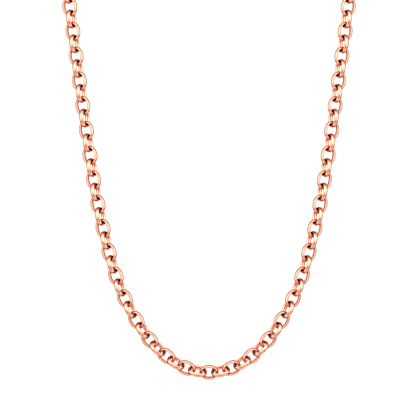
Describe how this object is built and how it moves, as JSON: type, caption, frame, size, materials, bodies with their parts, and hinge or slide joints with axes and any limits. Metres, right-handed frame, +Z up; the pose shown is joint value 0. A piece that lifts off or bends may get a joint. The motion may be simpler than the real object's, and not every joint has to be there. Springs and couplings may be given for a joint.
{
  "type": "rolo chain necklace",
  "caption": "Rolo chain necklace in polished rose gold, one closed loop of flattened oval links in the U that it takes when worn, with a closed clasp behind the neck.",
  "frame": {"origin": "the nape, on the side of the clasp that bears on the neck", "axes": "Z up as worn, viewer in front on the -Y side, X to the viewer's right, loop symmetrical about X = 0"},
  "size_m": [0.1106, 0.1023, 0.2045],
  "materials": {
    "rose_gold": "polished"
  },
  "bodies": {
    "root": {"chain_left": "rose_gold", "chain_right": "rose_gold", "clasp": "rose_gold"}
  },
  "joints": []
}
